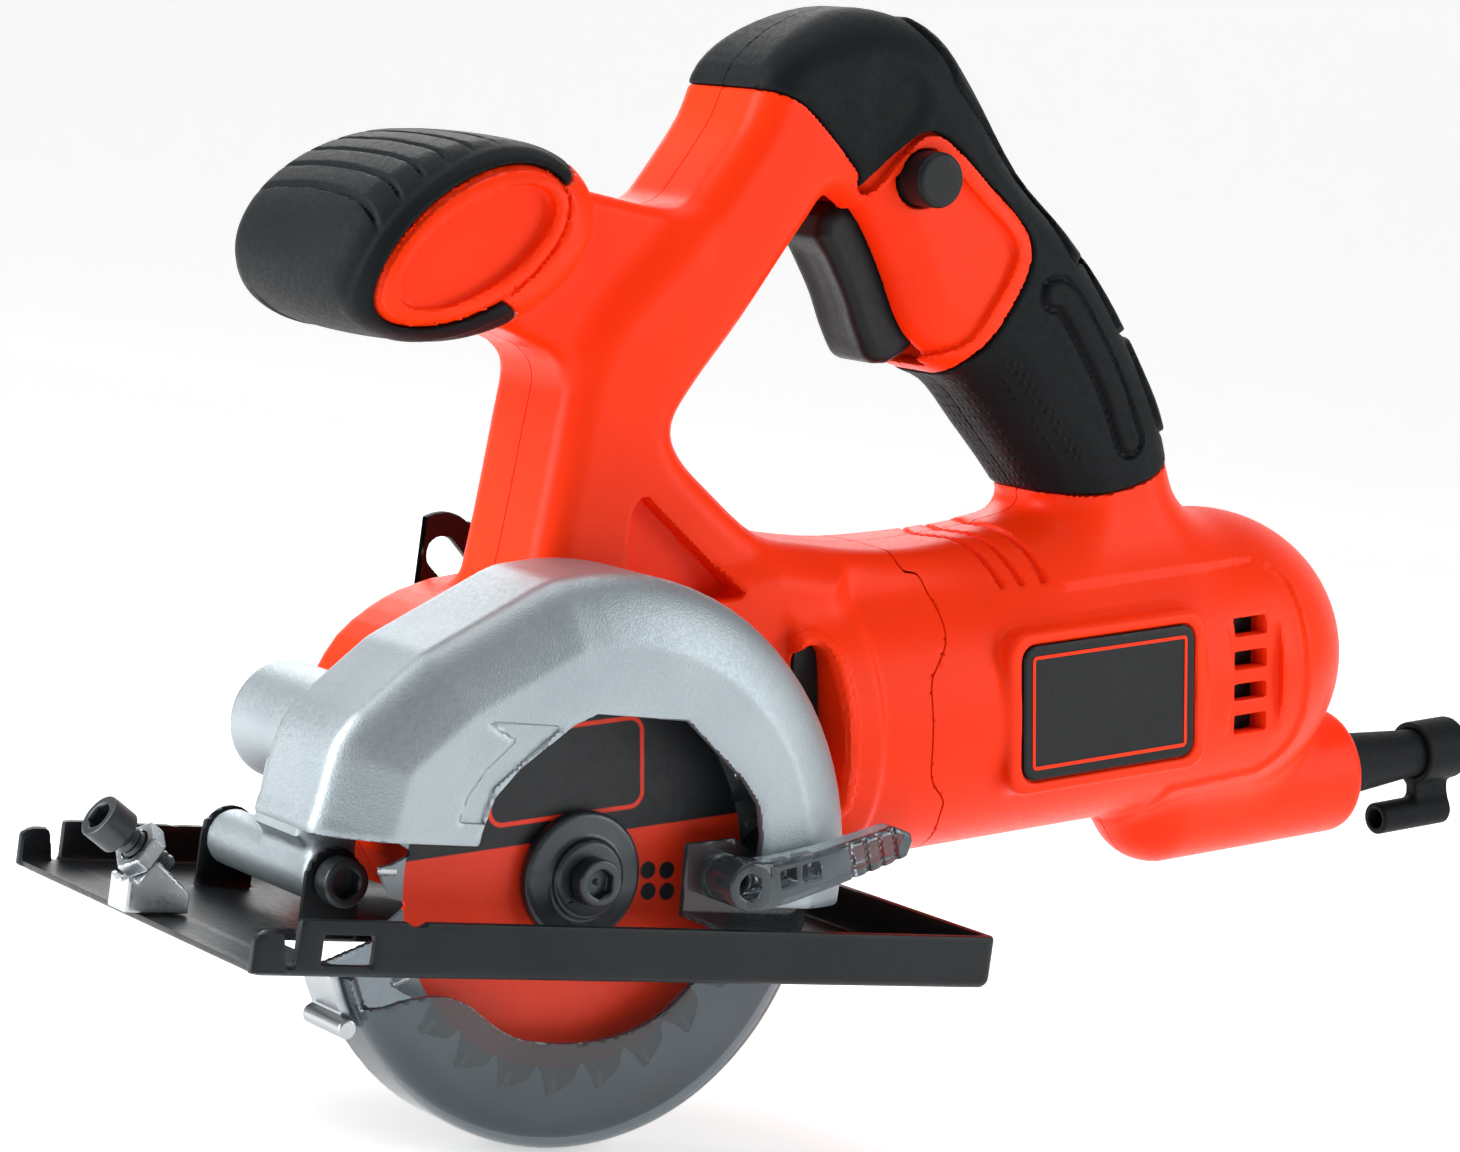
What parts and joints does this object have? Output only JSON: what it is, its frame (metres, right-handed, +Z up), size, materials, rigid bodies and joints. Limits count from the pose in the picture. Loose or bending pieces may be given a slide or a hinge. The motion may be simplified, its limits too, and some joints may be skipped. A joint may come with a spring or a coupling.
{
  "type": "circular saw",
  "caption": "Compact corded circular saw with a D-handle, front palm knob, cast blade guard, swinging clear lower guard and a tilting sole for depth of cut.",
  "frame": {"origin": "underside of the sole, below the blade axis, in the housing's mid-plane", "axes": "+X towards the rear of the saw, -Y the blade side, +Z up"},
  "size_m": [0.346, 0.101, 0.2229],
  "materials": {
    "orange_shell": "satin moulded",
    "grip_rubber": "matte moulded",
    "black_plastic": "satin moulded",
    "cast_metal": "fine grained casting",
    "black_steel": "black paint",
    "dark_steel": "blackened",
    "bare_steel": "bare",
    "brush_brass": "bare",
    "motor_copper": "enamelled winding",
    "smoked_plastic": "smoked, clear",
    "blade_paint": "printed blade face"
  },
  "bodies": {
    "housing": {"housing_near": "orange_shell", "housing_far": "orange_shell", "grip_cover_near": "grip_rubber", "grip_cover_far": "grip_rubber", "knob_cap": "grip_rubber", "strain_relief": "grip_rubber", "key_holder": "grip_rubber", "label_plate": "black_plastic", "rating_plate": "black_plastic", "switch_body": "black_plastic", "housing_screw_1": "dark_steel", "housing_screw_2": "dark_steel", "housing_screw_3": "dark_steel", "housing_screw_4": "dark_steel", "housing_screw_5": "dark_steel", "stator_core": "dark_steel", "depth_lock_bolt": "dark_steel", "field_coil_front": "motor_copper", "field_coil_rear": "motor_copper", "bearing_front": "bare_steel", "bearing_rear": "bare_steel", "jackshaft_bearing": "bare_steel", "spindle_bearing": "bare_steel", "guard_retainer": "bare_steel", "guard_spring": "bare_steel", "brush_near": "black_steel", "brush_far": "black_steel", "brush_holder_near": "brush_brass", "brush_holder_far": "brush_brass", "bearing_plate": "cast_metal", "upper_guard": "cast_metal"},
    "sole": {"sole_plate": "black_steel", "hinge_pin": "dark_steel", "hinge_nut": "dark_steel", "depth_bracket": "black_steel", "bracket_rivet_1": "bare_steel", "bracket_rivet_2": "bare_steel", "fence_clamp_block": "bare_steel", "fence_clamp_nut": "bare_steel"},
    "fence_screw": {"fence_clamp_screw": "dark_steel"},
    "blade": {"spindle": "bare_steel", "spur_gear": "bare_steel", "inner_flange": "dark_steel", "outer_flange": "dark_steel", "blade_bolt": "dark_steel", "saw_blade": "blade_paint"},
    "jackshaft": {"jackshaft": "bare_steel", "bevel_gear": "bare_steel", "spur_pinion": "bare_steel"},
    "armature": {"armature_core": "dark_steel", "armature_shaft": "bare_steel", "armature_pinion": "dark_steel", "commutator": "motor_copper", "fan": "black_plastic"},
    "lower_guard": {"lower_guard": "smoked_plastic", "guard_lever": "smoked_plastic", "guard_nose": "bare_steel"},
    "trigger": {"trigger": "black_plastic"},
    "lock_off_button": {"lock_off_button": "black_plastic"},
    "depth_lever": {"depth_lock_lever": "black_plastic"}
  },
  "joints": [
    {"name": "depth_adjust", "type": "hinge", "parent": "housing", "child": "sole", "pos_m": [-0.043, 0, 0.012], "axis": [0, 1, 0], "range_deg": [0, 38]},
    {"name": "blade_spin", "type": "hinge", "parent": "housing", "child": "blade", "pos_m": [0, -0.038, 0.017], "axis": [0, 1, 0], "continuous": true},
    {"name": "jackshaft_spin", "type": "hinge", "parent": "housing", "child": "jackshaft", "pos_m": [0.00288, -0.01, 0.03274], "axis": [0, 1, 0], "continuous": true},
    {"name": "armature_spin", "type": "hinge", "parent": "housing", "child": "armature", "pos_m": [0.09588, 0, 0.04914], "axis": [0.9848, 0, 0.1736], "continuous": true},
    {"name": "guard_open", "type": "hinge", "parent": "housing", "child": "lower_guard", "pos_m": [0, -0.038, 0.017], "axis": [0, -1, 0], "range_deg": [0, 100], "stiffness_Nm_per_rad": 0.06, "springref_deg": -34.38},
    {"name": "trigger_pull", "type": "hinge", "parent": "housing", "child": "trigger", "pos_m": [0.06003, 0, 0.14588], "axis": [0, -1, 0], "range_deg": [0, 8], "stiffness_Nm_per_rad": 2, "springref_deg": -2.86},
    {"name": "lock_off_push", "type": "slide", "parent": "housing", "child": "lock_off_button", "axis": [0, 1, 0], "range_m": [0, 0.003], "stiffness_N_per_m": 600, "springref_m": -0.001},
    {"name": "depth_lock", "type": "hinge", "parent": "housing", "child": "depth_lever", "pos_m": [0.02889, 0.037, 0.02728], "axis": [0, -1, 0], "range_deg": [0, 45]},
    {"name": "fence_clamp", "type": "slide", "parent": "sole", "child": "fence_screw", "axis": [0.8387, 0, -0.5446], "range_m": [0, 0.003]}
  ],
  "couplings": [
    {"joint": "jackshaft_spin", "follows": "blade_spin", "ratio": -2.2},
    {"joint": "armature_spin", "follows": "blade_spin", "ratio": -4.4}
  ]
}
